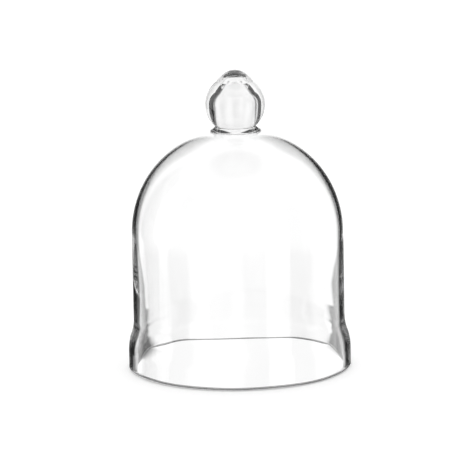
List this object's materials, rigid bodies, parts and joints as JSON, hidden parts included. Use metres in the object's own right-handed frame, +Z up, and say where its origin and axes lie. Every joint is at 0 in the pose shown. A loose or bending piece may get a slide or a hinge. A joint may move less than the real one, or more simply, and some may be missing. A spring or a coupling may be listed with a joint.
{
  "type": "bell jar dome",
  "caption": "Clear blown glass bell jar dome: round-topped bell with a flared foot, a collar, and a hollow ball knob with a low button on top.",
  "frame": {"origin": "centre of the flat underside of the rim, where the dome rests", "axes": "+Z up along the dome's axis to the button on the knob; X and Y are in the resting plane"},
  "size_m": [0.17, 0.17, 0.2283],
  "materials": {
    "bell_glass": "clear hand-blown glass, fire-polished, ground flat under the rim",
    "collar_glass": "clear glass, fused hot to the bell and to the knob",
    "knob_glass": "clear glass, fire-polished"
  },
  "bodies": {
    "root": {"dome_shell": "bell_glass", "collar": "collar_glass", "knob": "knob_glass", "knob_button": "knob_glass"}
  },
  "joints": []
}
